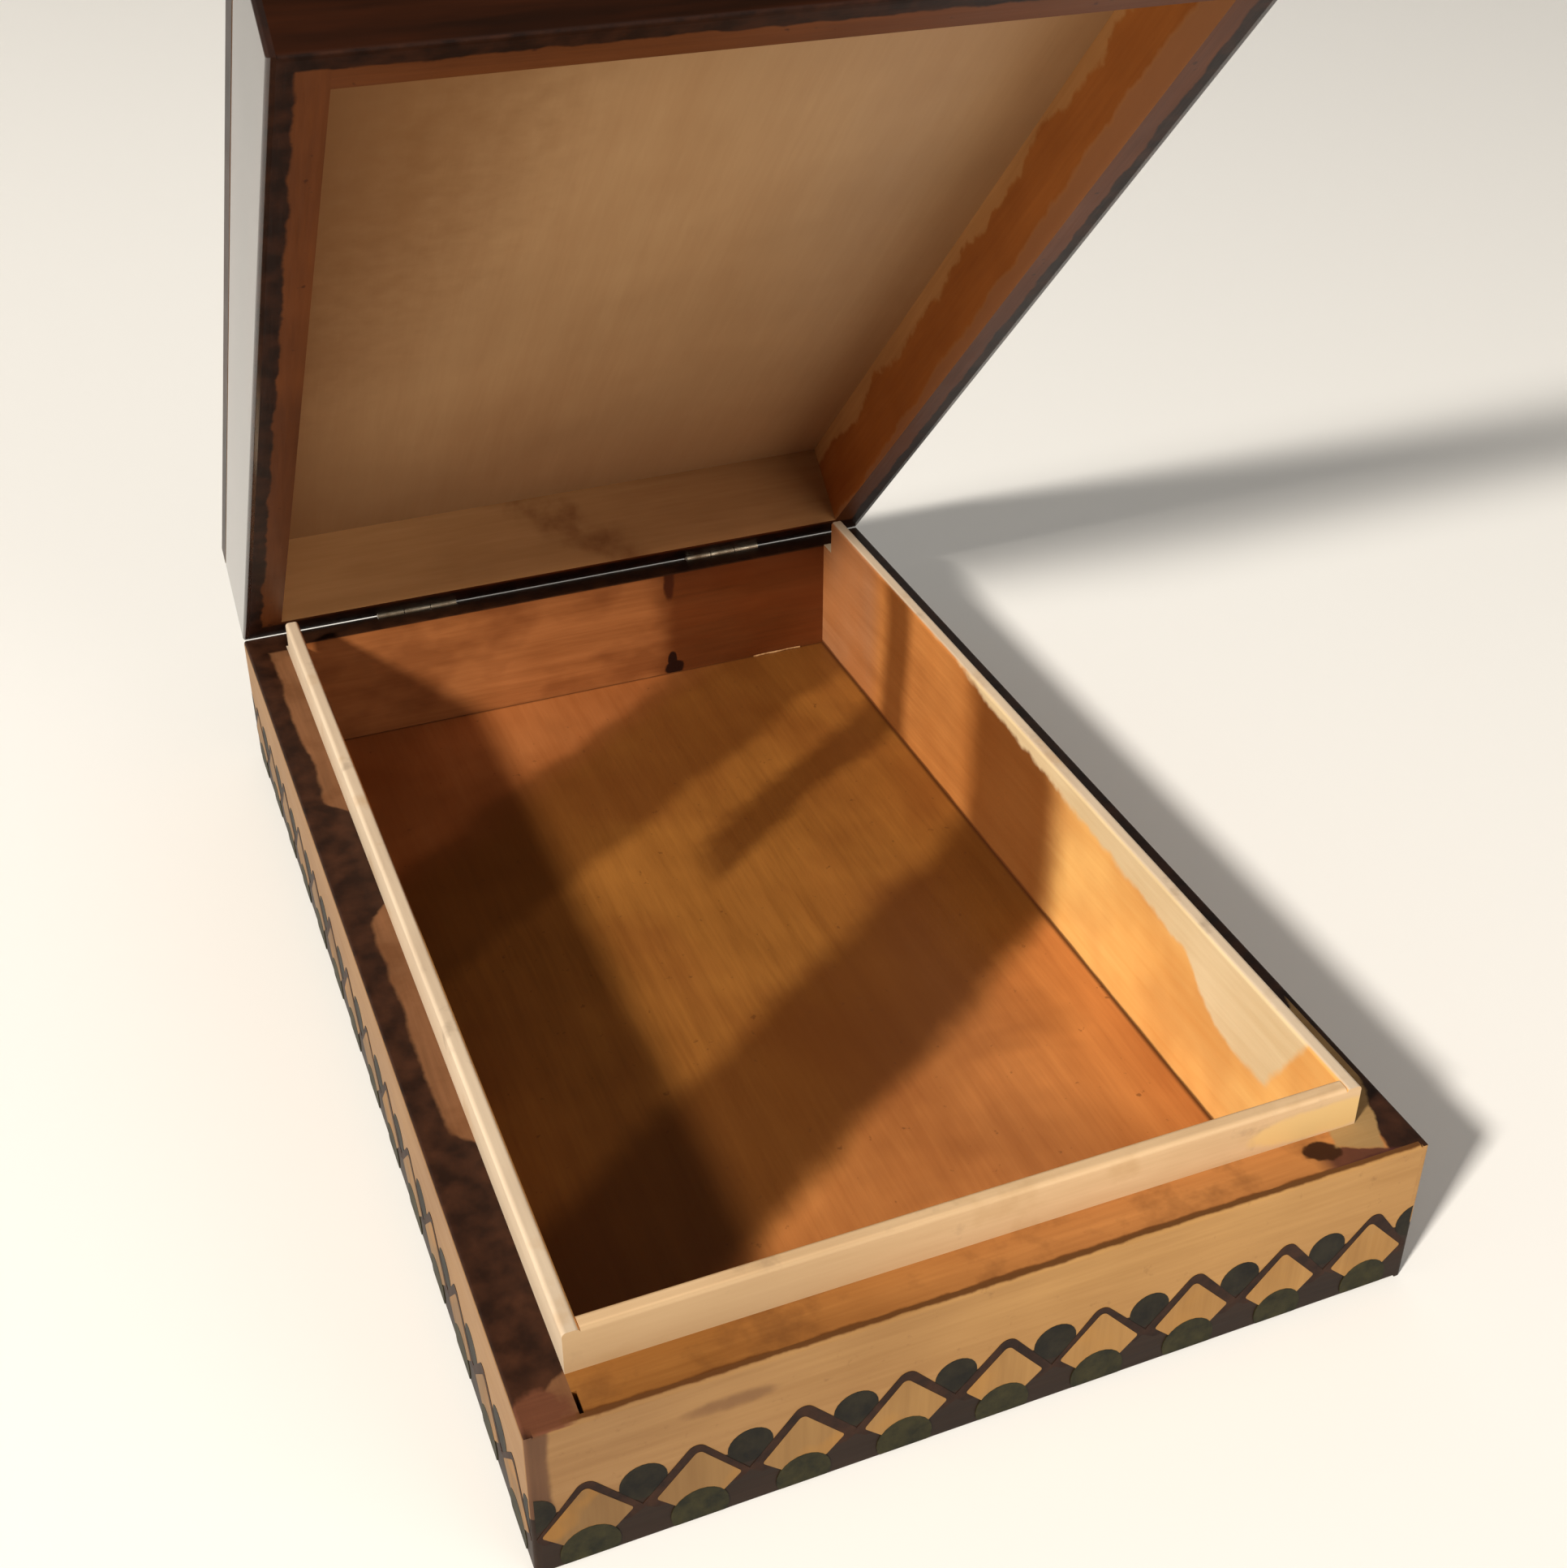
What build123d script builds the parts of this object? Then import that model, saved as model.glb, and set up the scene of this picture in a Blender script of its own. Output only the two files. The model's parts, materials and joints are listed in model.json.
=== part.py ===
from build123d import *
import os

# A low wooden keepsake box with a hinged lid. Millimetres, +Z up. The origin is at the middle of
# the base's underside, the front faces -Y and the hinges are at the back. The lid stands part open.

# Overall size
box_width = 120.0
box_depth = 183.0
base_height = 24.0

# Boards of the base
facing_thickness = 1.0
core_thickness = 5.8
back_thickness = 4.4
floor_thickness = 2.0
liner_thickness = 2.2
liner_rise = 6.6            # how far the liner stands above the rim
liner_back_setback = 8.0    # from the back face to the end of the standing lip
slot_width = 0.6            # open joint at the left end of the front board
slot_length = 3.2
slot_depth = 3.0

# Boards of the lid
lid_inner_depth = 15.0
lid_core_thickness = 5.6
lid_top_thickness = 4.0
lid_gap = 0.1               # between the two rims when the lid is shut
lid_open_angle = 47.2

# Edges
eased_edge = 0.5
liner_edge = 0.6
lid_top_edge = 1.2

# Hinges
hinge_centres = (-28.5, 31.3)
hinge_length = 14.5
leaf_thickness = 0.4
leaf_height = 9.0
knuckle_count = 3
knuckle_gap = 0.15
knuckle_radius = 1.0
knuckle_relief = 0.15       # room round the knuckles where they are let into the boards
knuckle_notch = 2.0         # from the pin's axis to the cut edge of the other leaf
pin_radius = 0.45
pin_clearance = 0.04
pin_offset = 0.1            # from the back face to the pin's axis
nail_spacing = 9.2
nail_height = 5.6           # from the pin's axis to the row of nails
nail_head_radius = 0.95
nail_head_height = 0.4
nail_shank_radius = 0.45
nail_hole_clearance = 0.02
nail_depth = 3.0

# Worked out from the values above
half_width = box_width / 2
half_depth = box_depth / 2
wall_thickness = facing_thickness + core_thickness
inner_half_width = half_width - wall_thickness
inner_front = -half_depth + wall_thickness
inner_back = half_depth - back_thickness
facing_half_width = half_width - facing_thickness
core_front = -half_depth + facing_thickness
liner_top = base_height + liner_rise
lid_rim = base_height + lid_gap
lid_ceiling = lid_rim + lid_inner_depth
lid_inner_half_width = facing_half_width - lid_core_thickness
lid_inner_front = core_front + lid_core_thickness
lid_inner_back = half_depth - facing_thickness - lid_core_thickness
pin_y = half_depth + pin_offset
pin_z = base_height + lid_gap / 2
knuckle_length = (hinge_length - (knuckle_count - 1) * knuckle_gap) / knuckle_count

nodes = {}


def block(x, y, z):
    """A rectangular board from its low and high value on each axis."""
    size = Box(x[1] - x[0], y[1] - y[0], z[1] - z[0])
    return Pos((x[0] + x[1]) / 2, (y[0] + y[1]) / 2, (z[0] + z[1]) / 2) * size


def mirrored(part):
    """The right-hand twin of a left-hand board."""
    return part.mirror(Plane.YZ)


def side_facing(z):
    """Thin left facing, the full depth of the box, with its outer edges eased."""
    board = block((-half_width, -facing_half_width), (-half_depth, half_depth), z)
    outer_face = board.faces().sort_by(Axis.X)[0]
    return fillet(outer_face.edges(), eased_edge)


def front_facing(z):
    """Thin front facing, held between the two side facings."""
    board = block((-facing_half_width, facing_half_width), (-half_depth, core_front), z)
    outer_face = board.faces().sort_by(Axis.Y)[0]
    return fillet(outer_face.edges().filter_by(Axis.X), eased_edge)


def round_top_edges(board, along):
    """Soften the two long top edges of a liner board."""
    top_face = board.faces().sort_by(Axis.Z)[-1]
    return fillet(top_face.edges().filter_by(along), liner_edge)


def nail_hole(x, z, radius):
    """Cutter for one nail, drilled forwards from the back face."""
    depth = nail_depth + leaf_thickness + nail_head_height
    cutter = Cylinder(radius, depth, align=(Align.CENTER, Align.CENTER, Align.MAX))
    return Pos(x, half_depth + leaf_thickness + nail_head_height, z) * Rot(X=-90) * cutter


def nail_places(z_sign):
    """Both nails of every hinge leaf, below the pin for the base and above it for the lid."""
    z = pin_z + z_sign * nail_height
    return [(centre + side * nail_spacing / 2, z) for centre in hinge_centres for side in (-1, 1)]


def back_wall(half_span, inner_face, z, z_sign):
    """Back board with the blind nail holes of the hinges and a recess for each row of knuckles."""
    board = block((-half_span, half_span), (inner_face, half_depth), z)
    for x, nail_z in nail_places(z_sign):
        board -= nail_hole(x, nail_z, nail_shank_radius + nail_hole_clearance)
    recess = Cylinder(knuckle_radius + knuckle_relief, hinge_length + 2 * knuckle_relief)
    for centre in hinge_centres:
        board -= Pos(centre, pin_y, pin_z) * Rot(Y=90) * recess
    return board


def nails(z_sign):
    """The domed nails of one side of both hinges, as separate solids."""
    group = []
    for x, z in nail_places(z_sign):
        shank = Cylinder(nail_shank_radius, nail_depth + leaf_thickness,
                         align=(Align.CENTER, Align.CENTER, Align.MAX))
        ball = Sphere((nail_head_radius**2 + nail_head_height**2) / (2 * nail_head_height))
        drop = nail_head_height - ball.bounding_box().max.Z
        head = (Pos(0, 0, drop) * ball) & Box(
            3 * nail_head_radius, 3 * nail_head_radius, 2 * nail_head_height,
            align=(Align.CENTER, Align.CENTER, Align.MIN))
        group.append(Pos(x, half_depth + leaf_thickness, z) * Rot(X=-90) * (shank + head))
    return Compound(group)


def hinge_leaf(centre, z_sign):
    """One leaf on the back face: a plate with its own knuckles, notched for the other leaf's."""
    y = (half_depth, half_depth + leaf_thickness)
    ends = (centre - hinge_length / 2, centre + hinge_length / 2)
    far_edge = pin_z + z_sign * leaf_height
    near_edge = pin_z + z_sign * knuckle_notch
    leaf = block(ends, y, sorted((near_edge, far_edge)))
    corners = leaf.edges().filter_by(Axis.Y).group_by(Axis.Z)[0 if z_sign < 0 else -1]
    leaf = fillet(corners, 2 * leaf_thickness)
    first = 0 if z_sign < 0 else 1
    for index in range(first, knuckle_count, 2):
        start = ends[0] + index * (knuckle_length + knuckle_gap)
        span = (start, start + knuckle_length)
        leaf += block(span, y, sorted((pin_z, near_edge)))
        barrel = Cylinder(knuckle_radius, knuckle_length)
        leaf += Pos(start + knuckle_length / 2, pin_y, pin_z) * Rot(Y=90) * barrel
    bore = Cylinder(pin_radius + pin_clearance, hinge_length + 1)
    leaf -= Pos(centre, pin_y, pin_z) * Rot(Y=90) * bore
    for side in (-1, 1):
        leaf -= nail_hole(centre + side * nail_spacing / 2, pin_z + z_sign * nail_height,
                          nail_shank_radius + nail_hole_clearance)
    return leaf


def hinge_pin(centre):
    """Plain pin as long as the hinge."""
    pin = Cylinder(pin_radius, hinge_length)
    pin = chamfer(pin.edges(), pin_radius / 4)
    return Pos(centre, pin_y, pin_z) * Rot(Y=90) * pin


def base_boards():
    """The case that stands on the table: floor, core boards and facings."""
    z = (0.0, base_height)
    nodes["base_floor"] = block((-inner_half_width, inner_half_width), (inner_front, inner_back),
                                (0.0, floor_thickness))
    left_core = block((-facing_half_width, -inner_half_width), (core_front, half_depth), z)
    nodes["base_left_wall"] = left_core
    nodes["base_right_wall"] = mirrored(left_core)
    front_core = block((-inner_half_width, inner_half_width), (core_front, inner_front), z)
    slot = block((-inner_half_width, -inner_half_width + slot_width),
                 (core_front, core_front + slot_length), (base_height - slot_depth, base_height))
    nodes["base_front_wall"] = front_core - slot
    nodes["base_back_wall"] = back_wall(inner_half_width, inner_back, z, -1)
    nodes["base_left_facing"] = side_facing(z)
    nodes["base_right_facing"] = mirrored(side_facing(z))
    nodes["base_front_facing"] = front_facing(z)


def liners():
    """Pale boards inside the base that stand above its rim and guide the lid."""
    z = (floor_thickness, liner_top)
    x = (-inner_half_width, -inner_half_width + liner_thickness)
    side = round_top_edges(block(x, (inner_front, inner_back), z), Axis.Y)
    step = block(x, (half_depth - liner_back_setback, inner_back), (base_height, liner_top))
    side -= step
    nodes["liner_left"] = side
    nodes["liner_right"] = mirrored(side)
    front = block((x[1], -x[1]), (inner_front, inner_front + liner_thickness), z)
    nodes["liner_front"] = round_top_edges(front, Axis.X)


def lid_boards():
    """The lid as it is when shut: top board, core boards and facings."""
    z = (lid_rim, lid_ceiling)
    top = block((-half_width, half_width), (-half_depth, half_depth),
                (lid_ceiling, lid_ceiling + lid_top_thickness))
    nodes["lid_top_panel"] = fillet(top.faces().sort_by(Axis.Z)[-1].edges(), lid_top_edge)
    left_core = block((-facing_half_width, -lid_inner_half_width), (core_front, half_depth), z)
    nodes["lid_left_wall"] = left_core
    nodes["lid_right_wall"] = mirrored(left_core)
    nodes["lid_front_wall"] = block((-lid_inner_half_width, lid_inner_half_width),
                                    (core_front, lid_inner_front), z)
    nodes["lid_back_wall"] = back_wall(lid_inner_half_width, lid_inner_back, z, 1)
    nodes["lid_left_facing"] = side_facing(z)
    nodes["lid_right_facing"] = mirrored(side_facing(z))
    nodes["lid_front_facing"] = front_facing(z)


def hinges():
    """Two butt hinges on the back face, with their pins and nails."""
    for side, centre in zip(("left", "right"), hinge_centres):
        nodes[side + "_hinge_base_leaf"] = hinge_leaf(centre, -1)
        nodes[side + "_hinge_pin"] = hinge_pin(centre)
        nodes["lid_" + side + "_hinge_leaf"] = hinge_leaf(centre, 1)
    nodes["base_hinge_nails"] = nails(-1)
    nodes["lid_hinge_nails"] = nails(1)


def open_lid():
    """Turn every lid piece about the pins to the part-open position."""
    turn = Pos(0, pin_y, pin_z) * Rot(X=-lid_open_angle) * Pos(0, -pin_y, -pin_z)
    for name in nodes:
        if name.startswith("lid_"):
            nodes[name] = turn * nodes[name]


base_boards()
liners()
lid_boards()
hinges()
open_lid()

os.makedirs("parts", exist_ok=True)
for name, shape in nodes.items():
    shape.label = name
    export_step(shape, f"parts/{name}.step")
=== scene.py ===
import json
import math
import random

import bmesh
import bpy
from mathutils import Matrix, Vector


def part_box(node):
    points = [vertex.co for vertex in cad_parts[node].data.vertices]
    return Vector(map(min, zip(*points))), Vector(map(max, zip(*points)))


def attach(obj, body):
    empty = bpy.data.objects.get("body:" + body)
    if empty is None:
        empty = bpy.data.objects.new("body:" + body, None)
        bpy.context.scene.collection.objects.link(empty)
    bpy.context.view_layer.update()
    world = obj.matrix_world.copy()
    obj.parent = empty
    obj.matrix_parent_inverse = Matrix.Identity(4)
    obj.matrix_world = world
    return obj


# Looks for the hinged keepsake box. Metres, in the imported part's frame: +Z up, front at -Y.

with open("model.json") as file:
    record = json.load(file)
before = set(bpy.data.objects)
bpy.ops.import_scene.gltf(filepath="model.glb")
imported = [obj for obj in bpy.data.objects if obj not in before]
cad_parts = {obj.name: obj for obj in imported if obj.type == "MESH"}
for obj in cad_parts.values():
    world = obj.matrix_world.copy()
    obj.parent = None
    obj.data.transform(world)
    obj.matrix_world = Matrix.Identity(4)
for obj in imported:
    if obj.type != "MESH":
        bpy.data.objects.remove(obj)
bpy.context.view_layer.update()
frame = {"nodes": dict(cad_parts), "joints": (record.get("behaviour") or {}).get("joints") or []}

mm = 0.001
seed = 4


# ----------------------------------------------------------------- places worked out from the frame

base_low, base_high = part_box("base_left_facing")
half_width = -base_low.x
front_y = base_low.y
back_y = base_high.y
rim_z = base_high.z
facing = base_high.x - base_low.x
inner_half_width = -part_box("base_left_wall")[1].x
liner_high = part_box("liner_left")[1]
floor_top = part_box("base_floor")[1].z
liner_face = -liner_high.x
back_wall_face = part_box("base_back_wall")[0].y

lid_joint = frame["joints"][0]
lid_pin = Vector(lid_joint["pos_m"])
lid_opening = math.radians(-lid_joint["range_deg"][0])
to_shut = Matrix.Rotation(lid_opening, 3, "X")


def shut_box(node):
    """A lid node's box with the lid shut, from its vertices."""
    points = [to_shut @ (v.co - lid_pin) + lid_pin for v in frame["nodes"][node].data.vertices]
    low = Vector([min(p[i] for p in points) for i in range(3)])
    high = Vector([max(p[i] for p in points) for i in range(3)])
    return low, high


lid_ceiling_z = shut_box("lid_top_panel")[0].z


def colour(red, green, blue):
    """A linear colour from the usual 0 to 255 values."""
    values = [c / 255 for c in (red, green, blue)]
    linear = [c / 12.92 if c <= 0.04045 else ((c + 0.055) / 1.055) ** 2.4 for c in values]
    return (*linear, 1.0)


# ------------------------------------------------------------------- a small kit for node materials

def stretched(along, share):
    """Scales that draw noise out along one axis, for wood grain."""
    return tuple(share if axis == along else 1.0 for axis in "xyz")


class Finish:
    """A material being made. Its calls add the nodes that the finishes share."""

    def __init__(self, name, on_lid=False):
        self.material = bpy.data.materials.new(name)
        self.material.use_nodes = True
        self.tree = self.material.node_tree
        self.shader = self.tree.nodes["Principled BSDF"]
        where = self.add("ShaderNodeTexCoord")
        self.position, self.normal = where.outputs["Object"], where.outputs["Normal"]
        if on_lid:
            moved = lid_pin - to_shut @ lid_pin
            turn = (lid_opening, 0, 0)
            kind = "ShaderNodeMapping"
            shut = self.add(kind, Vector=self.position, Location=moved, Rotation=turn)
            self.position = shut.outputs[0]
            self.normal = self.add(kind, Vector=self.normal, Rotation=turn).outputs[0]
        split = self.add("ShaderNodeSeparateXYZ", Vector=self.position)
        self.x, self.y, self.z = split.outputs
        facing_way = self.add("ShaderNodeSeparateXYZ", Vector=self.normal)
        self.nx, self.ny, self.nz = facing_way.outputs

    def add(self, kind, settings=None, **sockets):
        node = self.tree.nodes.new(kind)
        for name, value in (settings or {}).items():
            setattr(node, name, value)
        for name, value in sockets.items():
            self.join(node.inputs[name.replace("_", " ")], value)
        return node

    def join(self, socket, value):
        if isinstance(value, bpy.types.NodeSocket):
            self.tree.links.new(value, socket)
        else:
            socket.default_value = value

    def sum(self, operation, a, b=0.0):
        node = self.add("ShaderNodeMath", {"operation": operation})
        self.join(node.inputs[0], a)
        self.join(node.inputs[1], b)
        return node.outputs[0]

    def times(self, *values):
        result = values[0]
        for value in values[1:]:
            result = self.sum("MULTIPLY", result, value)
        return result

    def invert(self, mask):
        return self.sum("SUBTRACT", 1.0, mask)

    def above(self, value, edge, soft):
        """1 where value is over edge, 0 under it, with a change 2 * soft wide."""
        shift = self.sum("SUBTRACT", value, edge)
        settings = {"interpolation_type": "SMOOTHSTEP"}
        node = self.add("ShaderNodeMapRange", settings, Value=shift, From_Min=-soft, From_Max=soft)
        return node.outputs["Result"]

    def below(self, value, edge, soft):
        return self.invert(self.above(value, edge, soft))

    def between(self, value, low, high, soft):
        return self.times(self.above(value, low, soft), self.below(value, high, soft))

    def toward(self, normal_part, limit=0.5, soft=0.2):
        """1 where the surface faces along an axis, from that part of its normal."""
        return self.above(normal_part, limit, soft)

    def against(self, normal_part, limit=0.5, soft=0.2):
        """1 where the surface faces the other way along the axis."""
        return self.below(normal_part, -limit, soft)

    def noise(self, scale, stretch=(1, 1, 1), detail=3.0, roughness=0.55, distortion=0.0,
              offset=0.0):
        """Noise of scale cells per metre, in the frame's own coordinates, from 0 to 1."""
        shift = (offset, offset, offset)
        turned = self.add("ShaderNodeMapping", Vector=self.position, Scale=stretch, Location=shift)
        node = self.add(
            "ShaderNodeTexNoise", None, Vector=turned.outputs[0], Scale=scale,
            Detail=detail, Roughness=roughness, Distortion=distortion,
        )
        return node.outputs["Fac"]

    def wave(self, amount, scale, offset=0.0):
        """A wobble of plus or minus amount metres, for an edge painted by hand."""
        swing = self.sum("SUBTRACT", self.noise(scale, detail=4.0, offset=offset), 0.5)
        return self.times(swing, 2 * amount)

    def mix(self, a, b, mask):
        node = self.add("ShaderNodeMix", {"data_type": "RGBA"})
        self.join(node.inputs[0], mask)
        self.join(node.inputs[6], a)
        self.join(node.inputs[7], b)
        return node.outputs[2]

    def spread(self, value, low, high):
        """Noise between low and high stretched to 0 to 1."""
        node = self.add("ShaderNodeMapRange", None, Value=value, From_Min=low, From_Max=high)
        return node.outputs["Result"]

    def ragged(self, broad, fine):
        """The wander of a broad wave and a fine one, each given as amount, scale and offset."""
        return self.sum("ADD", self.wave(*broad), self.wave(*fine))

    def grain(self, along, offset=0.0):
        """Long fine fibres and wider streaks along one axis, from 0 to 1."""
        long_way = stretched(along, 0.06)
        streaks = self.noise(260.0, long_way, detail=4.0, distortion=0.3, offset=offset)
        fibres = self.noise(1500.0, long_way, detail=2.0, offset=offset + 3.0)
        return self.sum("ADD", self.times(streaks, 0.65), self.times(fibres, 0.35))

    def wood(self, light, dark, along, offset=0.0):
        """Wood colour: grain, plus broad uneven tone."""
        grain = self.spread(self.grain(along, offset), 0.34, 0.66)
        cloud = self.spread(self.noise(45.0, detail=2.0, offset=offset + 7.0), 0.3, 0.7)
        tone = self.sum("ADD", self.times(grain, 0.55), self.times(cloud, 0.45))
        return self.mix(dark, light, tone)

    def patch(self, base, tint, centre, radii, soft=0.35, wobble=0.25):
        """base with a ragged blotch of tint; an axis whose centre is None doesn't matter."""
        total = 0.0
        for value, middle, radius in zip((self.x, self.y, self.z), centre, radii):
            if middle is not None:
                away = self.sum("DIVIDE", self.sum("SUBTRACT", value, middle), radius)
                total = self.sum("ADD", self.times(away, away), total)
        uneven = self.sum("SUBTRACT", self.noise(280.0, detail=3.0), 0.5)
        ragged = self.sum("ADD", total, self.times(uneven, 4 * wobble))
        return self.mix(base, tint, self.below(ragged, 1.0, soft))

    def stripe(self, value, middle, half_width, soft, wander=0.0, scale=45.0, offset=0.0):
        """1 along a soft hand-wavy band of value."""
        wavy = self.sum("ADD", value, self.wave(wander, scale, offset))
        return self.between(wavy, middle - half_width, middle + half_width, soft)

    def finish(self, tint, along, rough=0.45, shine=0.3, depth=0.05 * mm):
        """Colour, roughness of about rough, strength of reflection, and a bump along the grain."""
        self.join(self.shader.inputs["Base Color"], tint)
        self.shader.inputs["Specular IOR Level"].default_value = shine
        grain = self.grain(along)
        uneven = self.noise(120.0, detail=3.0, offset=5.0)
        grain_share, uneven_share = 0.2, 0.1
        least = rough - (grain_share + uneven_share) / 2
        fine = self.sum("ADD", self.times(grain, grain_share), least)
        roughness = self.sum("ADD", self.times(uneven, uneven_share), fine)
        self.join(self.shader.inputs["Roughness"], roughness)
        ripple = self.noise(90.0, detail=2.0, offset=9.0)
        ripple_depth = 1.2 * depth
        height = self.sum("ADD", self.times(grain, depth), self.times(ripple, ripple_depth))
        self.bump(height)
        return self.material

    def bump(self, height):
        """A bump of height metres."""
        node = self.add("ShaderNodeBump", None, Height=height, Distance=1.0, Strength=1.0)
        self.join(self.shader.inputs["Normal"], node.outputs[0])


def dark_stain(f, dark, light, low=0.35, high=0.7):
    """Mottled stain between two colours."""
    return f.mix(dark, light, f.spread(f.noise(300.0, detail=4.0), low, high))


# ------------------------------------------------------------ base: facings with the painted border

border_top = rim_z - 13.9 * mm       # top of the dark ground, under the border's shapes
rim_stain = 3.1 * mm                 # width of the dark stain along the side rims
corner_stain = 2.7 * mm              # width of the stain down the front's left corner
joint_on_facing = 0.7 * mm           # spread of the front joint's dark line to the front
joint_on_core = 0.2 * mm             # and to the back
ground_dark, ground_light = colour(24, 14, 8), colour(42, 26, 15)
joint_brown = colour(82, 45, 17)
stain_dark, stain_light = colour(34, 17, 9), colour(62, 35, 21)


def worn_corner(f, tint):
    """tint with the reddish, rubbed place at the front left corner of the rim."""
    reddish = f.wood(colour(118, 72, 48), colour(78, 44, 30), "x", offset=4.0)
    place = (2.9 * mm - half_width, front_y + 2.6 * mm, None)
    radii = (3.4 * mm, 3.2 * mm, None)
    return f.patch(tint, reddish, place, radii, soft=0.5, wobble=0.7)


def facing_wood(name, along):
    """Pale facing: paler to the right, scuffed, with the border's dark ground and a stained top."""
    f = Finish(name)
    tint = f.wood(colour(148, 113, 73), colour(124, 89, 53), along, offset=1.0)
    paler = f.wood(colour(182, 138, 82), colour(154, 112, 62), along, offset=1.0)
    to_right = f.spread(f.x, -50 * mm, 10 * mm)
    tint = f.mix(tint, paler, f.times(to_right, 0.75))
    scuff = f.spread(f.noise(420.0, detail=5.0, roughness=0.7), 0.62, 0.74)
    tint = f.mix(tint, colour(104, 70, 40), f.times(scuff, 0.4))
    place, radii = (-36 * mm, None, rim_z - 5.0 * mm), (5 * mm, None, 1.1 * mm)
    tint = f.patch(tint, colour(118, 84, 52), place, radii, soft=0.9, wobble=0.5)
    corner_edge = f.sum("ADD", corner_stain - half_width, f.wave(0.8 * mm, 150.0))
    corner = f.below(f.x, corner_edge, 0.4 * mm)
    dusky = f.wood(colour(104, 72, 48), colour(64, 40, 26), "z")
    tint = f.mix(tint, dusky, f.times(corner, f.against(f.ny)))
    ground = f.below(f.z, f.sum("ADD", border_top, f.wave(0.25 * mm, 500.0)), 0.12 * mm)
    tint = f.mix(tint, f.wood(ground_light, ground_dark, along, offset=2.0), ground)
    on_top = f.toward(f.nz, 0.6, 0.15)
    side = f.above(f.sum("ABSOLUTE", f.x), half_width - facing - 0.2 * mm, 0.1 * mm)
    tint = f.mix(tint, dark_stain(f, stain_dark, stain_light), f.times(on_top, side))
    joint = f.sum("ADD", front_y + facing - joint_on_facing, f.wave(0.4 * mm, 250.0))
    line = f.above(f.y, joint, 0.15 * mm)
    tint = f.mix(tint, joint_brown, f.times(on_top, line, f.invert(side), 0.9))
    tint = f.mix(tint, worn_corner(f, tint), on_top)
    return f.finish(tint, along, rough=0.5, shine=0.15)


# --------------------------------------------------------------- base: core boards, seen as the rim

stained_runs = ((7 * mm, 47 * mm), (98 * mm, 124 * mm))  # from the front, where stain fills the rim
run_spill = 5.5 * mm                 # how much wider the stain is there


def core_wood(name, along, light, dark):
    """Orange-brown core board, with the rim's stains and the marks at its front right corner."""
    f = Finish(name)
    orange = f.wood(light, dark, along, offset=3.0)
    paler = f.wood(colour(196, 132, 74), colour(160, 102, 54), along, offset=3.0)
    to_right = f.spread(f.sum("ADD", f.x, f.wave(10 * mm, 40.0)), -40 * mm, 15 * mm)
    orange = f.mix(orange, paler, f.times(to_right, 0.8))
    blotch = f.spread(f.noise(150.0, detail=4.0, roughness=0.6), 0.5, 0.7)
    orange = f.mix(orange, colour(92, 54, 26), f.times(blotch, 0.5))
    joint = f.sum("ADD", front_y + facing + joint_on_core, f.wave(0.6 * mm, 200.0, 4.0))
    tint = f.mix(orange, joint_brown, f.times(f.below(f.y, joint, 0.2 * mm), 0.85))
    behind = f.sum("SUBTRACT", f.y, front_y)
    from_front = f.sum("ADD", behind, f.wave(5 * mm, 60.0, 1.0))
    runs = [f.between(from_front, start, end, 4 * mm) for start, end in stained_runs]
    long_runs = f.sum("MAXIMUM", runs[0], runs[1])
    spill = f.sum("ADD", f.times(long_runs, run_spill), f.wave(1.5 * mm, 110.0))
    left = f.below(f.x, f.sum("ADD", rim_stain + 0.6 * mm - half_width, spill), 0.4 * mm)
    right_edge = f.sum("ADD", inner_half_width + 1.6 * mm, f.wave(1.2 * mm, 120.0, 2.0))
    right = f.above(f.x, right_edge, 0.3 * mm)
    back = f.above(f.y, back_wall_face - 1.5 * mm, 0.4 * mm)
    stained = f.sum("MAXIMUM", f.sum("MAXIMUM", left, right), back)
    tint = worn_corner(f, f.mix(tint, dark_stain(f, stain_dark, stain_light), stained))
    return f.finish(right_corner_marks(f, tint, behind), along, rough=0.5, shine=0.15)


def right_corner_marks(f, tint, behind):
    """tint with the marks at the rim's front right corner: violet smear, brown spot, bare patch."""
    from_right = f.sum("SUBTRACT", half_width, f.x)
    ragged = f.wave(0.8 * mm, 350.0, 7.0)
    climb_start, climb_end, climb_slope = 1.5 * mm, 12 * mm, 0.4
    rise = f.sum("SUBTRACT", f.sum("MINIMUM", from_right, climb_end), climb_start)
    smear_top = f.sum("ADD", f.times(rise, climb_slope), ragged)
    smear = f.times(f.below(behind, smear_top, 0.3 * mm), f.below(from_right, 14.5 * mm, 1.5 * mm))
    violet = f.mix(colour(84, 44, 38), colour(48, 22, 20), f.noise(400.0))
    tint = f.mix(tint, violet, f.times(smear, 0.9))
    leaning = f.sum("ADD", f.sum("ADD", from_right, f.times(behind, 0.4)), ragged)
    bare_place = f.between(leaning, 6.4 * mm, 13.4 * mm, 0.3 * mm)
    bare_mask = f.times(bare_place, f.above(behind, smear_top, 0.3 * mm))
    spot = (half_width - 13.6 * mm, front_y + 4.2 * mm, None)
    tint = f.patch(tint, colour(52, 26, 12), spot, (2.2 * mm, 1.6 * mm, None), wobble=0.8)
    bare = f.wood(colour(170, 138, 92), colour(140, 108, 66), "x", offset=4.0)
    return f.mix(tint, bare, bare_mask)


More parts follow.
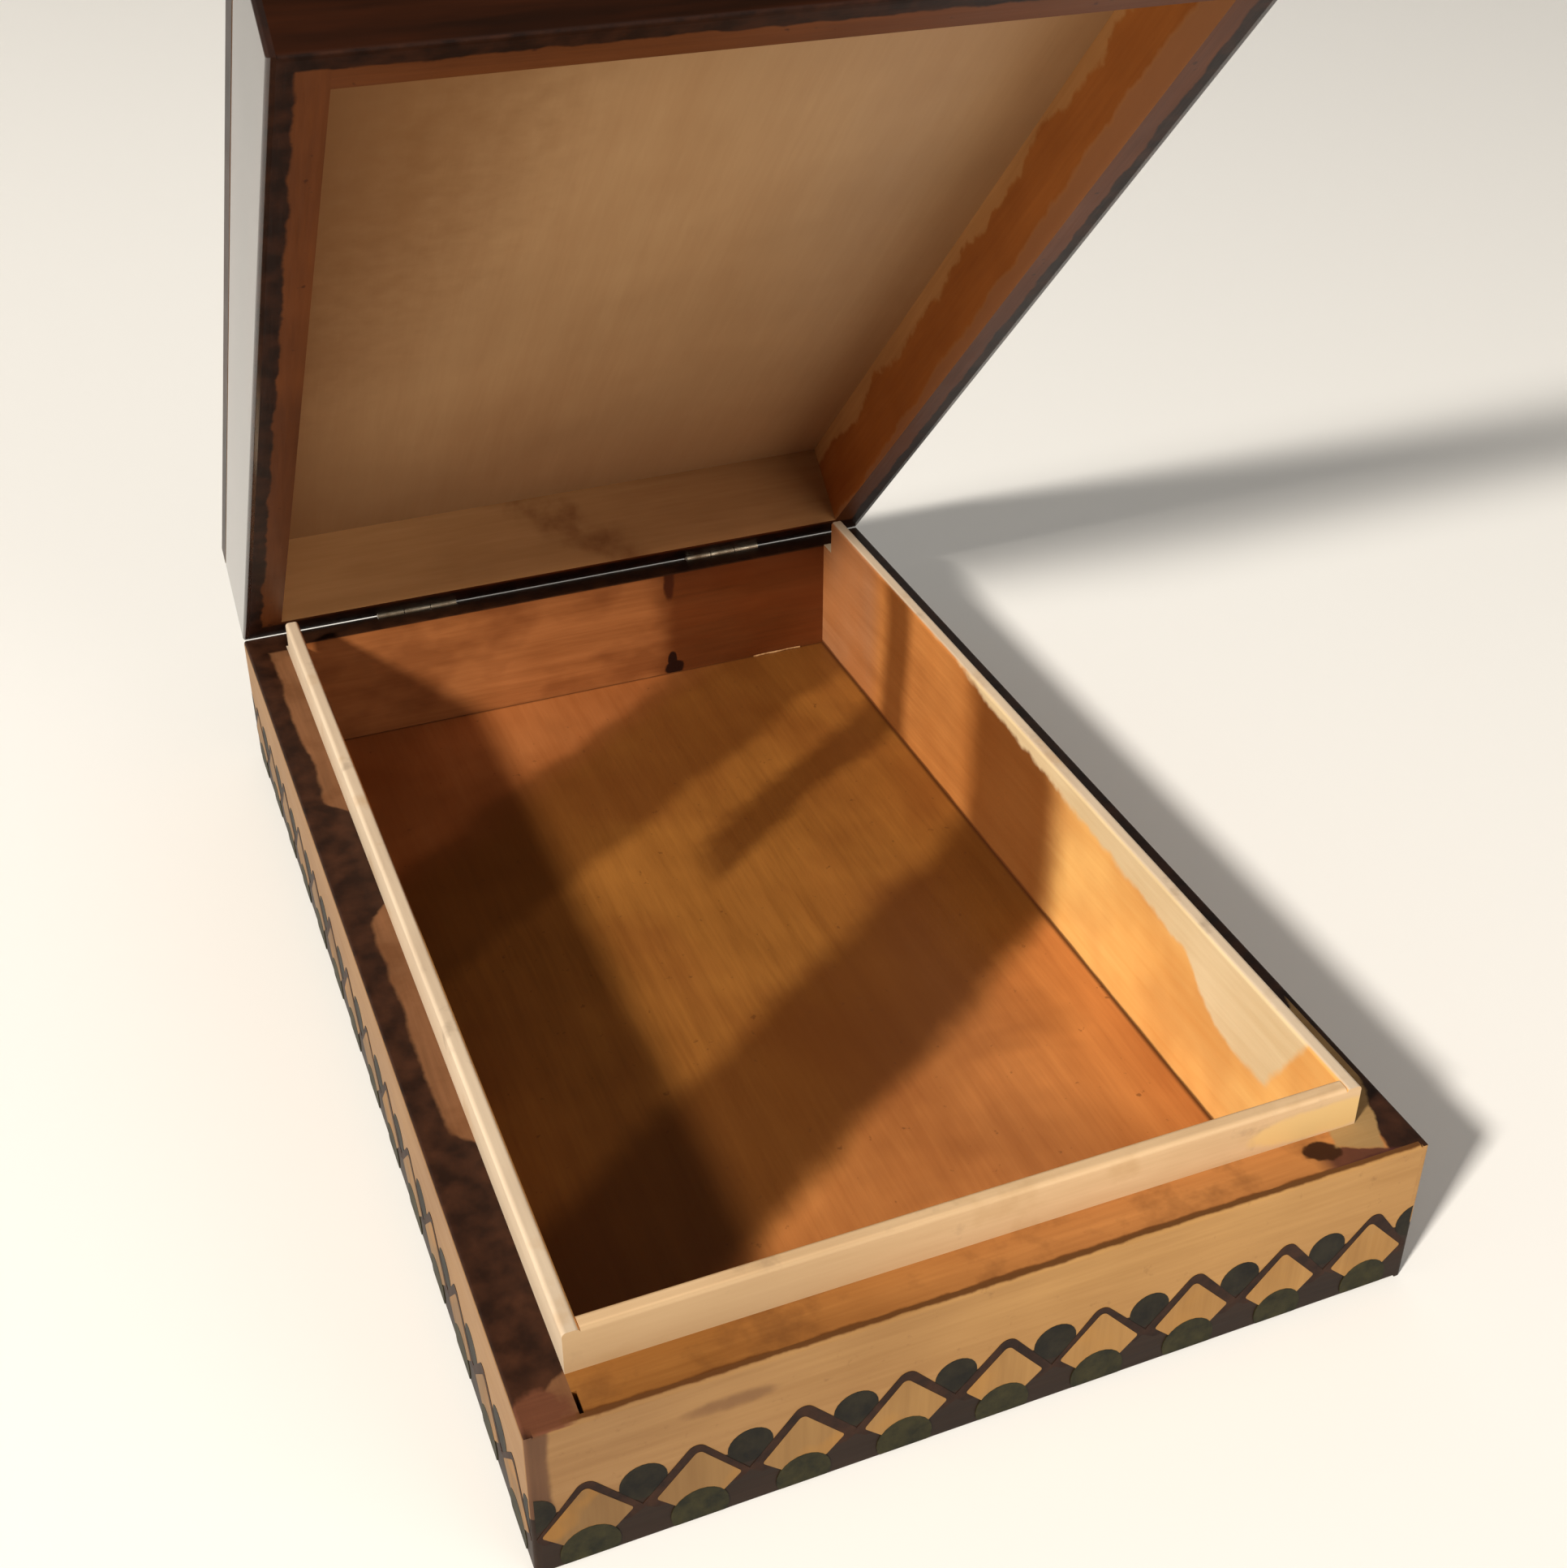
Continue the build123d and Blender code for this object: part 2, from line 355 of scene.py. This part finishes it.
def back_wood(name):
    """The back board: varnished inside with two dark blotches and painted shadow over its right
    part, dark rim, plain stained outside.
    """
    f = Finish(name)
    inside = f.wood(colour(168, 106, 60), colour(128, 74, 36), "x", offset=6.0)
    blotch = f.spread(f.noise(60.0, stretch=(1, 1, 1.6), detail=3.0), 0.46, 0.62)
    inside = f.mix(inside, colour(102, 52, 22), f.times(blotch, 0.5))
    # painted shadow: the right part of the inside dark red
    reddish = f.above(f.x, f.sum("ADD", 17 * mm, f.wave(5 * mm, 60.0)), 4 * mm)
    painted_shadow_red = f.wood(colour(92, 40, 10), colour(62, 25, 5), "x")
    inside = f.mix(inside, painted_shadow_red, f.times(reddish, 0.85))
    # dark marks on the inside: one low down by the floor, one under the rim
    low_mark, high_mark = colour(30, 11, 6), colour(64, 28, 12)
    foot = floor_top + 1.0 * mm
    for shade, x, z, wide, high, soft in (
        (low_mark, 19.6 * mm, foot, 1.9 * mm, 1.5 * mm, 0.3),
        (low_mark, 19.2 * mm, foot + 1.8 * mm, 0.9 * mm, 1.9 * mm, 0.3),
        (high_mark, 19.0 * mm, rim_z - 2.0 * mm, 1.1 * mm, 3.8 * mm, 0.5),
    ):
        inside = f.patch(inside, shade, (x, None, z), (wide, None, high), soft, wobble=0.5)
    stain = dark_stain(f, stain_dark, colour(54, 30, 16))
    outside = f.wood(colour(110, 70, 40), colour(76, 44, 24), "x", offset=5.0)
    tint = f.mix(inside, stain, f.above(f.z, rim_z - 0.3 * mm, 0.15 * mm))
    tint = f.mix(tint, outside, f.toward(f.ny))
    return f.finish(tint, "x", rough=0.4, shine=0.25)


# ---------------------------------------------------------------------------- base: liner and floor

ivory = colour(214, 182, 142)
straw = colour(192, 158, 118)


def liner_wood(name, along, light, dark):
    """Bare pale wood outside and on the lip, varnished inside with painted shadow bands and painted
    light.
    """
    f = Finish(name)
    cream = f.wood(light, dark, along, offset=8.0)
    cream = f.mix(cream, f.wood(ivory, straw, "x", offset=8.0), f.against(f.ny))
    smudge = f.spread(f.noise(110.0, detail=4.0), 0.58, 0.72)
    cream = f.mix(cream, colour(180, 144, 100), f.times(smudge, 0.5))
    grime = f.spread(f.noise(75.0, detail=5.0, roughness=0.65, offset=4.0), 0.60, 0.72)
    cream = f.mix(cream, colour(112, 94, 76), f.times(grime, 0.45))
    scuff_place = (half_width - 12 * mm, None, rim_z + 2.6 * mm)
    cream = f.patch(cream, colour(214, 178, 120), scuff_place, (11 * mm, None, 2.4 * mm))
    dim = f.times(f.below(f.x, -10 * mm, 35 * mm), f.against(f.ny), 0.6)
    cream = f.mix(cream, colour(162, 134, 98), dim)
    varnish = f.wood(colour(206, 138, 74), colour(164, 102, 50), along, offset=10.0)
    # painted light: the back end of the inner faces rosier and lighter
    rosy_painted_light = f.wood(colour(186, 130, 88), colour(150, 98, 60), along, offset=10.0)
    varnish = f.mix(varnish, rosy_painted_light, f.above(f.y, 62 * mm, 4 * mm))
    # painted light: the front end of the inner faces brighter
    painted_light_front = f.wood(colour(242, 192, 116), colour(228, 166, 90), along, offset=10.0)
    painted_light_end = f.sum("ADD", -8 * mm, f.wave(5 * mm, 60.0))
    varnish = f.mix(varnish, painted_light_front, f.below(f.y, painted_light_end, 6 * mm))
    cloud = f.spread(f.noise(38.0, detail=3.0, offset=1.0), 0.42, 0.62)
    varnish = f.mix(varnish, colour(176, 106, 48), f.times(cloud, 0.4))
    # painted shadow: two dark bands across the inner faces
    painted_shadow_bands = f.sum("MAXIMUM", f.stripe(f.y, 7 * mm, 15 * mm, 5 * mm, 5 * mm),
                  f.stripe(f.y, 53 * mm, 5 * mm, 3 * mm, 4 * mm))
    varnish = f.mix(varnish, colour(94, 48, 14), f.times(painted_shadow_bands, 0.8))
    varnish = pale_top_patch(f, varnish, along)
    side = f.times(f.nx, f.sum("SIGN", f.x))
    inner = f.sum("MAXIMUM", f.against(side, 0.6, 0.25), f.toward(f.ny, 0.6, 0.25))
    tint = f.mix(cream, varnish, inner)
    foot = f.below(f.z, f.sum("ADD", floor_top + 0.5 * mm, f.wave(0.4 * mm, 90.0)), 0.3 * mm)
    tint = f.mix(tint, colour(84, 42, 16), f.times(inner, foot, 0.85))
    return f.finish(tint, along)


def pale_top_patch(f, varnish, along):
    """varnish with a long pale patch under the top edge of the right wall."""
    depth = f.sum("SUBTRACT", liner_high.z, f.z)
    from_front = f.sum("SUBTRACT", f.y, front_y)
    slanted = f.sum("SUBTRACT", from_front, f.times(depth, 0.5))
    taper = f.sum("SUBTRACT", 7.5 * mm, f.times(f.sum("SUBTRACT", from_front, 30 * mm), 0.08))
    reach = f.sum("ADD", taper, f.times(f.below(from_front, 40 * mm, 7 * mm), 6 * mm))
    lower_edge = f.sum("ADD", reach, f.ragged((2.5 * mm, 80.0, 6.0), (0.8 * mm, 350.0, 6.0)))
    front_edge = f.sum("ADD", 16 * mm, f.wave(2.5 * mm, 120.0, 2.0))
    high_up = f.below(depth, lower_edge, 0.7 * mm)
    behind_edge = f.above(slanted, front_edge, 0.8 * mm)
    pale = f.wood(colour(226, 206, 166), colour(206, 180, 136), along, offset=12.0)
    return f.mix(varnish, pale, f.times(high_up, behind_edge, f.above(f.x, 0.0, mm)))


def floor_wood(name):
    """Varnished board, with painted shadow bands slanting across it and painted light beside them.
    """
    f = Finish(name)
    band_slope = 0.667               # how far back a band runs for each metre to the right
    slant = f.sum("SUBTRACT", f.y, f.times(f.x, band_slope))
    wavy = f.sum("ADD", slant, f.wave(5 * mm, 45.0, 1.0))
    tint = f.wood(colour(156, 102, 44), colour(118, 72, 27), "y", offset=14.0)
    # painted light: lighter behind the far band
    rosy_painted_light = f.wood(colour(172, 108, 60), colour(146, 84, 40), "y", offset=14.0)
    tint = f.mix(tint, rosy_painted_light, f.above(wavy, 70 * mm, 6 * mm))
    # painted light: lighter in front of the wide band
    light = f.wood(colour(198, 130, 70), colour(164, 100, 50), "y", offset=14.0)
    tint = f.mix(tint, light, f.below(wavy, -42 * mm, 5 * mm))
    cloud = f.spread(f.noise(26.0, detail=3.0, distortion=0.6, offset=2.0), 0.44, 0.62)
    tint = f.mix(tint, colour(112, 60, 24), f.times(cloud, 0.4))
    # painted shadow: three slanting dark bands, the wide, the thin and the far one
    wide = f.between(wavy, -43 * mm, -12 * mm, 4 * mm)
    thin = f.stripe(slant, 24 * mm, 5.5 * mm, 3 * mm, 6 * mm, 60.0, 3.0)
    thin = f.times(thin, f.above(f.x, 4 * mm, 4 * mm))
    far = f.between(wavy, 43 * mm, 74 * mm, 3 * mm)
    uneven = f.sum("MAXIMUM", f.times(thin, 0.7), f.times(far, 0.55))
    uneven = f.sum("MAXIMUM", f.times(wide, 0.75), uneven)
    tint = f.mix(tint, colour(74, 36, 7), uneven)
    speck = f.spread(f.noise(650.0, detail=2.0), 0.70, 0.76)
    tint = f.mix(tint, colour(74, 40, 16), f.times(speck, 0.5))
    at_side = f.above(f.sum("ABSOLUTE", f.x), liner_face - 0.5 * mm, 0.4 * mm)
    at_back = f.above(f.y, back_wall_face - 0.4 * mm, 0.3 * mm)
    tint = f.mix(tint, colour(66, 32, 12), f.times(f.sum("MAXIMUM", at_side, at_back), 0.8))
    under = f.wood(colour(150, 112, 72), colour(116, 82, 50), "y", offset=15.0)
    tint = f.mix(tint, under, f.against(f.nz))
    return f.finish(tint, "y", rough=0.4)


# ---------------------------------------------------------------------------------------------- lid

def varnish_outside(f, along, offset):
    """Dark varnish in streaks along the grain: red-brown where it is thin."""
    stain = f.wood(colour(32, 12, 3), colour(14, 5, 1), along, offset=offset)
    streaks = f.noise(120.0, stretched(along, 0.08), detail=5.0, roughness=0.6, offset=offset)
    return f.mix(stain, colour(66, 29, 10), f.times(f.spread(streaks, 0.46, 0.72), 0.55))


def lid_panel_wood(name):
    """Bare underside, lighter in the middle and dim at its front left, dark varnish outside."""
    f = Finish(name, on_lid=True)
    bare = f.wood(colour(182, 146, 104), colour(168, 130, 90), "y", offset=16.0)
    across = f.sum("DIVIDE", f.x, 60 * mm)
    lengthwise = f.sum("DIVIDE", f.sum("SUBTRACT", f.y, 10 * mm), 100 * mm)
    away = f.sum("ADD", f.times(across, across), f.times(lengthwise, lengthwise))
    bare = f.mix(bare, colour(144, 102, 62), f.times(f.spread(away, 0.2, 1.4), 0.5))
    cloud = f.spread(f.noise(22.0, detail=3.0, offset=11.0), 0.4, 0.65)
    bare = f.mix(bare, colour(150, 116, 80), f.times(cloud, 0.4))
    place, radii = (-half_width, front_y, None), (38 * mm, 105 * mm, None)
    bare = f.patch(bare, colour(130, 92, 56), place, radii, soft=0.9, wobble=0.2)
    outside = f.invert(f.against(f.nz))
    tint = f.mix(bare, varnish_outside(f, "y", 17.0), outside)
    return f.finish(tint, "y")


lid_edge_stain = 3.0 * mm            # width of the dark stain round the lid's rim


def lid_edge(f, orange):
    """The lid's rim colours: dark stain along the outer edge, ragged, over the inner orange."""
    stain = dark_stain(f, colour(24, 10, 5), colour(50, 25, 13), low=0.4)
    from_side = f.sum("SUBTRACT", half_width, f.sum("ABSOLUTE", f.x))
    from_front = f.sum("SUBTRACT", f.y, front_y)
    from_edge = f.sum("MINIMUM", from_side, from_front)
    stain_end = f.sum("ADD", lid_edge_stain, f.wave(1.1 * mm, 170.0, 8.0))
    dark = f.below(from_edge, stain_end, 0.25 * mm)
    dark = f.sum("MAXIMUM", dark, f.above(f.y, back_y - 5.5 * mm, 0.5 * mm))
    return f.mix(orange, stain, dark)


def lid_core_wood(name, along):
    """The lid's core boards: stained rim, bare inside with the marks of the photo, dark back."""
    f = Finish(name, on_lid=True)
    rim = lid_edge(f, f.wood(colour(104, 57, 26), colour(74, 38, 16), along, offset=18.0))
    spot = f.spread(f.noise(500.0, detail=2.0, offset=4.0), 0.68, 0.74)
    rim = f.mix(rim, colour(48, 22, 10), f.times(spot, 0.7))
    tan = f.wood(colour(190, 142, 92), colour(164, 118, 72), along, offset=19.0)
    brown = f.wood(colour(164, 117, 73), colour(138, 94, 54), along, offset=19.0)
    inner = f.mix(tan, brown, f.spread(f.x, -35 * mm, 30 * mm))
    depth = f.sum("SUBTRACT", lid_ceiling_z, f.z)
    inner = right_wall_stain(f, inner, along, depth)
    slant = f.sum("SUBTRACT", f.x, f.times(depth, 1.2))
    smear = f.times(f.stripe(slant, -6 * mm, 5 * mm, 3 * mm, 7 * mm, 120.0), f.against(f.ny))
    smear = f.times(smear, f.spread(f.noise(200.0), 0.3, 0.7), 0.7)
    inner = f.mix(inner, colour(110, 64, 30), smear)
    tint = f.mix(inner, rim, f.against(f.nz))
    tint = f.mix(tint, varnish_outside(f, along, 21.0), f.toward(f.ny))
    return f.finish(tint, along, shine=0.15)


def right_wall_stain(f, inner, along, depth):
    """inner with the right wall's own colours: bare wood, a rust-coloured band and a dull lip."""
    toward_back = f.spread(f.y, front_y, back_y)
    upper_edge = f.sum("ADD", 2.6 * mm, f.times(toward_back, 0.4 * mm))
    upper_edge = f.sum("ADD", upper_edge, f.ragged((5.0 * mm, 70.0, 3.0), (1.2 * mm, 320.0, 5.0)))
    lower_edge = f.sum("ADD", 9.8 * mm, f.times(toward_back, 5.0 * mm))
    lower_edge = f.sum("ADD", lower_edge, f.ragged((2.4 * mm, 80.0, 5.0), (0.8 * mm, 320.0, 2.0)))
    on_right = f.times(f.above(f.x, 0.0, mm), f.against(f.nx))
    bare = f.wood(colour(198, 144, 88), colour(168, 115, 64), along, offset=19.0)
    inner = f.mix(inner, bare, on_right)
    rust = f.wood(colour(176, 106, 48), colour(146, 82, 34), along, offset=20.0)
    band = f.times(f.above(depth, upper_edge, 0.5 * mm), f.below(depth, lower_edge, 0.6 * mm))
    inner = f.mix(inner, rust, f.times(band, on_right))
    lip = f.times(f.above(depth, lower_edge, 0.6 * mm), on_right)
    return f.mix(inner, colour(158, 104, 68), f.times(lip, 0.85))


def lid_facing_wood(name, along, clear_coat):
    """Varnished facing; clear_coat is the share of clear gloss left on its varnish."""
    f = Finish(name, on_lid=True)
    f.shader.inputs["Coat Weight"].default_value = clear_coat
    f.shader.inputs["Coat Roughness"].default_value = 0.1
    f.shader.inputs["Coat IOR"].default_value = 1.45
    rim = lid_edge(f, colour(78, 41, 18))
    tint = f.mix(varnish_outside(f, along, 22.0), rim, f.against(f.nz, 0.6, 0.15))
    return f.finish(tint, along, shine=0.1)


# -------------------------------------------------------------------- metal and the border's paints

def hinge_metal(name, tarnish):
    """Drawn metal, tarnished in soft patches."""
    f = Finish(name)
    patch = f.spread(f.noise(320.0, detail=3.0), 0.35, 0.75)
    f.join(f.shader.inputs["Base Color"], f.mix(colour(172, 160, 140), tarnish, patch))
    f.shader.inputs["Metallic"].default_value = 1.0
    clean_roughness, tarnish_share = 0.28, 0.3
    roughness = f.sum("ADD", clean_roughness, f.times(patch, tarnish_share))
    f.join(f.shader.inputs["Roughness"], roughness)
    drawn_lines = f.noise(2500.0, stretched("x", 0.05), detail=2.0)
    f.bump(f.times(drawn_lines, 0.02 * mm))
    return f.material


def paint(name, light, dark):
    """Thin hand-brushed colour over the wood, a little uneven."""
    f = Finish(name)
    brush = f.spread(f.noise(420.0, detail=4.0, roughness=0.65), 0.34, 0.66)
    return f.finish(f.mix(dark, light, brush), "z", rough=0.55, shine=0.12, depth=0.03 * mm)


def kite_wood(name):
    """The kites' bare wood: yellow in places, paler to the right like the facing round it."""
    f = Finish(name)
    tint = f.wood(colour(128, 97, 58), colour(106, 76, 43), "z", offset=23.0)
    yellow = f.spread(f.noise(130.0, detail=2.0, offset=3.0), 0.52, 0.66)
    tint = f.mix(tint, colour(152, 104, 40), f.times(yellow, 0.5))
    paler = f.wood(colour(178, 134, 76), colour(150, 108, 56), "z", offset=23.0)
    tint = f.mix(tint, paler, f.times(f.spread(f.x, -50 * mm, 20 * mm), 0.75))
    return f.finish(tint, "z", rough=0.5, shine=0.15)


# ------------------------------------------------------------------------------ the border's shapes

def rounded(corners, radii, steps=6):
    """A closed outline with each corner turned into an arc of its own radius."""
    outline = []
    count = len(corners)
    for i, (corner, radius) in enumerate(zip(corners, radii)):
        here = Vector(corner)
        before = (Vector(corners[i - 1]) - here).normalized()
        after = (Vector(corners[(i + 1) % count]) - here).normalized()
        half = before.angle(after) / 2
        centre = here + (before + after).normalized() * radius / math.sin(half)
        start = here + before * radius / math.tan(half) - centre
        end = here + after * radius / math.tan(half) - centre
        turn = start.angle_signed(end)
        for k in range(steps + 1):
            c, s = math.cos(turn * k / steps), math.sin(turn * k / steps)
            outline.append(centre + Vector((start.x * c + start.y * s, start.y * c - start.x * s)))
    return outline


def disc(radius, steps=24):
    """A round outline."""
    angles = [math.tau * k / steps for k in range(steps)]
    return [Vector((radius * math.cos(a), radius * math.sin(a))) for a in angles]


# In millimetres on the face: across, and up from the rim.
kite_corners = [(0, 6.3), (5.4, 0), (2.9, -2.5), (-2.9, -2.5), (-5.4, 0)]
kite = rounded(kite_corners, [0.7, 0.4, 0.3, 0.3, 0.4])
roof_corners = [(0, 8.1), (7.0, -0.2), (5.2, -1.4), (-5.2, -1.4), (-7.0, -0.2)]
roof = rounded(roof_corners, [1.4, 0.3, 0.3, 0.3, 0.3])
dot, half_dot = disc(2.85), disc(3.6)
dots_up, kites_up, half_dots_up = -13.6, -17.6, -22.0
shape_levels = {             # how proud of the face each kind of shape stands
    "border_dots": 0.03,
    "border_outlines": 0.06,
    "border_kites": 0.09,
    "border_half_dots": 0.12,
}
neighbour_step = 0.012       # every other shape stands this much higher, so that none share a plane
sunk = 0.04                  # how far the edges go into the wood
edge_margin = 0.5            # the shapes stop this far from the corners and the underside
turn_play, size_play, shift_play = 2.5, 0.04, (0.15, 0.12)  # hand-made variation, turn in degrees
front_repeats, side_repeats = 9, 14


def stamp(bm, outline, place, jitter, on_face, level, limit):
    """One painted shape: a thin plate level mm proud of the face, its edge turned down into it."""
    turn = Matrix.Rotation(math.radians(jitter.uniform(-turn_play, turn_play)), 2)
    size = jitter.uniform(1 - size_play, 1 + size_play)
    shift = Vector([jitter.uniform(-play, play) for play in shift_play])
    points = [(turn @ p) * size + shift + Vector(place) for p in outline]
    first, last, lowest = edge_margin, limit - edge_margin, edge_margin - rim_z / mm
    clipped = [Vector((min(max(p.x, first), last), max(p.y, lowest))) for p in points]
    top = [bm.verts.new(on_face(p.x * mm, p.y * mm, level * mm)) for p in clipped]
    root = [bm.verts.new(on_face(p.x * mm, p.y * mm, -sunk * mm)) for p in clipped]
    bm.faces.new(top)
    for i in range(len(top)):
        j = (i + 1) % len(top)
        bm.faces.new((root[i], root[j], top[j], top[i]))


def border(side, length, repeats, on_face, finishes):
    """One side's painted border: kites under burnt outlines, dark dots between and below."""
    pitch = length / mm / repeats
    middles = [(k + 0.5) * pitch for k in range(repeats)]
    joins = [k * pitch for k in range(repeats + 1)]
    layout = {
        "border_dots": [(dot, (u, dots_up)) for u in joins],
        "border_outlines": [(roof, (u, kites_up)) for u in middles],
        "border_kites": [(kite, (u, kites_up)) for u in middles],
        "border_half_dots": [(half_dot, (u, half_dots_up)) for u in middles],
    }
    for part, shapes in layout.items():
        jitter = random.Random(f"{seed} {side} {part}")
        bm = bmesh.new()
        for index, (outline, place) in enumerate(shapes):
            level = shape_levels[part] + neighbour_step * (index % 2)
            stamp(bm, outline, place, jitter, on_face, level, length / mm)
        bmesh.ops.remove_doubles(bm, verts=bm.verts, dist=1e-7)
        bmesh.ops.recalc_face_normals(bm, faces=bm.faces)
        mesh = bpy.data.meshes.new(f"{part}_{side}")
        bm.to_mesh(mesh)
        bm.free()
        mesh.materials.append(finishes[part])
        piece = bpy.data.objects.new(mesh.name, mesh)
        bpy.context.scene.collection.objects.link(piece)
        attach(piece, "base")


def paint_borders():
    """The border on the three decorated sides; the back has none."""
    finishes = {
        "border_dots": paint("dot_paint", colour(36, 32, 21), colour(19, 17, 13)),
        "border_outlines": paint("burnt_line", colour(52, 30, 18), colour(30, 16, 10)),
        "border_kites": kite_wood("kite_wood"),
        "border_half_dots": paint("green_paint", colour(50, 46, 24), colour(26, 26, 15)),
    }
    width, depth = 2 * half_width, back_y - front_y
    # from (along, up, proud) in metres to a place on each face
    on_front = lambda u, v, h: (u - half_width, front_y - h, rim_z + v)
    on_left = lambda u, v, h: (-half_width - h, front_y + u, rim_z + v)
    on_right = lambda u, v, h: (half_width + h, front_y + u, rim_z + v)
    border("front", width, front_repeats, on_front, finishes)
    border("left", depth, side_repeats, on_left, finishes)
    border("right", depth, side_repeats, on_right, finishes)


# ----------------------------------------------------------------------- a small pale bead

def pale_bead():
    """A thin pale bead along the joint of the floor and the back board."""
    curve = bpy.data.curves.new("pale_bead_line", "CURVE")
    curve.dimensions = "3D"
    spline = curve.splines.new("NURBS")
    places = [(36, 0.5), (38.5, 0.15), (41, 0.4), (43.5, 0.1), (46, 0.3)]  # x, out from the board
    spline.points.add(len(places) - 1)
    for point, (x, out) in zip(spline.points, places):
        point.co = (x * mm, back_wall_face - out * mm, floor_top + 0.12 * mm, 1.0)
        point.radius = 0.3 + 1.4 * out
    spline.order_u = 3
    spline.use_endpoint_u = True
    curve.bevel_depth = 0.22 * mm
    curve.bevel_resolution = 3
    line = bpy.data.objects.new("pale_bead_line", curve)
    bpy.context.scene.collection.objects.link(line)
    solid_line = line.evaluated_get(bpy.context.evaluated_depsgraph_get())
    mesh = bpy.data.meshes.new_from_object(solid_line)
    bpy.data.objects.remove(line)
    f = Finish("pale_bead_finish")
    cloud = f.spread(f.noise(900.0, detail=3.0), 0.35, 0.65)
    f.join(f.shader.inputs["Base Color"], f.mix(colour(196, 158, 112), colour(134, 88, 48), cloud))
    f.join(f.shader.inputs["Roughness"], f.sum("ADD", 0.25, f.times(cloud, 0.2)))
    mesh.materials.clear()
    mesh.materials.append(f.material)
    piece = bpy.data.objects.new("pale_bead", mesh)
    bpy.context.scene.collection.objects.link(piece)
    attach(piece, "base")


# ---------------------------------------------------------------------- finishes onto the CAD nodes

def coat(material, *nodes):
    """Give CAD nodes one material."""
    for node in nodes:
        mesh = frame["nodes"][node].data
        mesh.materials.clear()
        mesh.materials.append(material)


def coat_all():
    """Every CAD node's finish."""
    coat(facing_wood("facing_front", "x"), "base_front_facing")
    coat(facing_wood("facing_side", "y"), "base_left_facing", "base_right_facing")
    warm, deep = colour(154, 103, 50), colour(118, 72, 30)
    coat(core_wood("core_front", "x", warm, deep), "base_front_wall")
    brown, umber = colour(132, 90, 60), colour(92, 60, 36)
    coat(core_wood("core_side", "y", brown, umber), "base_left_wall", "base_right_wall")
    coat(back_wood("core_back"), "base_back_wall")
    coat(liner_wood("liner_front", "x", ivory, straw), "liner_front")
    chalk, putty = colour(212, 192, 166), colour(190, 168, 142)
    coat(liner_wood("liner_side", "y", chalk, putty), "liner_left", "liner_right")
    coat(floor_wood("floor_board"), "base_floor")
    coat(lid_panel_wood("lid_panel"), "lid_top_panel")
    coat(lid_core_wood("lid_core_long", "y"), "lid_left_wall", "lid_right_wall")
    coat(lid_core_wood("lid_core_cross", "x"), "lid_front_wall", "lid_back_wall")
    coat(lid_facing_wood("lid_facing_long", "y", 1.0), "lid_left_facing", "lid_right_facing")
    coat(lid_facing_wood("lid_facing_cross", "x", 0.0), "lid_front_facing")
    hinges = hinge_metal("hinge_steel", colour(112, 92, 70))
    for name in frame["nodes"]:
        if "hinge" in name and "nails" not in name:
            coat(hinges, name)
    coat(hinge_metal("nail_steel", colour(124, 98, 64)), "base_hinge_nails", "lid_hinge_nails")


# -------------------------------------------------------------------------- floor, light and camera

def studio():
    """A pale floor that curves up behind the box."""
    bm = bmesh.new()
    near_end, bend_start, bend_radius, height, half_span = -3.0, 1.4, 0.8, 3.0, 4.0
    profile = [(near_end, 0.0), (bend_start, 0.0)]
    angles = [math.radians(10 * k) for k in range(1, 10)]
    profile += [(bend_start + bend_radius * math.sin(a), bend_radius - bend_radius * math.cos(a))
                for a in angles]
    profile.append((bend_start + bend_radius, height))
    rows = [[bm.verts.new((x, y, z)) for x in (-half_span, half_span)] for y, z in profile]
    for low, high in zip(rows, rows[1:]):
        bm.faces.new((low[0], low[1], high[1], high[0])).smooth = True
    mesh = bpy.data.meshes.new("studio_floor")
    bm.to_mesh(mesh)
    bm.free()
    material = bpy.data.materials.new("pale_floor")
    material.use_nodes = True
    shader = material.node_tree.nodes["Principled BSDF"]
    shader.inputs["Base Color"].default_value = (0.86, 0.85, 0.83, 1.0)
    shader.inputs["Roughness"].default_value = 0.7
    mesh.materials.append(material)
    floor = bpy.data.objects.new("studio_floor", mesh)
    bpy.context.scene.collection.objects.link(floor)


def area_light(name, place, aim, size, watts, tint):
    """A soft rectangular light at place, turned toward aim."""
    data = bpy.data.lights.new(name, "AREA")
    data.shape = "RECTANGLE"
    data.size, data.size_y = size
    data.energy = watts
    data.color = tint
    light = bpy.data.objects.new(name, data)
    light.location = place
    light.rotation_euler = (Vector(aim) - Vector(place)).to_track_quat("-Z", "Y").to_euler()
    bpy.context.scene.collection.objects.link(light)


def lights():
    """A small warm key from the left, a weak fill from the front and a pale surround."""
    middle = (0.0, 0.0, 0.03)
    area_light("key_light", (-1.60, -1.06, 1.39), middle, (0.20, 0.20), 80.0, (1.0, 0.94, 0.85))
    area_light("front_fill", (0.8, -1.3, 0.50), middle, (1.0, 0.8), 6.5, (1.0, 0.96, 0.90))
    world = bpy.data.worlds.new("studio_air")
    world.use_nodes = True
    surround = world.node_tree.nodes["Background"]
    surround.inputs["Color"].default_value = (1.0, 0.97, 0.92, 1.0)
    surround.inputs["Strength"].default_value = 0.22
    bpy.context.scene.world = world


def camera():
    """The photo's camera, as fitted to the edges of the box."""
    data = bpy.data.cameras.new("camera")
    data.lens = 46.9
    data.sensor_width = 36.0
    data.shift_x, data.shift_y = -0.0119, -0.0637
    data.clip_start, data.clip_end = 0.01, 20.0
    view = bpy.data.objects.new("camera", data)
    view.location = (-0.0883, -0.2368, 0.2121)
    view.rotation_euler = [math.radians(a) for a in (58.01, -0.42, -22.36)]
    bpy.context.scene.collection.objects.link(view)
    bpy.context.scene.camera = view


coat_all()
paint_borders()
pale_bead()
studio()
lights()
camera()
bpy.context.scene.view_settings.view_transform = "Standard"
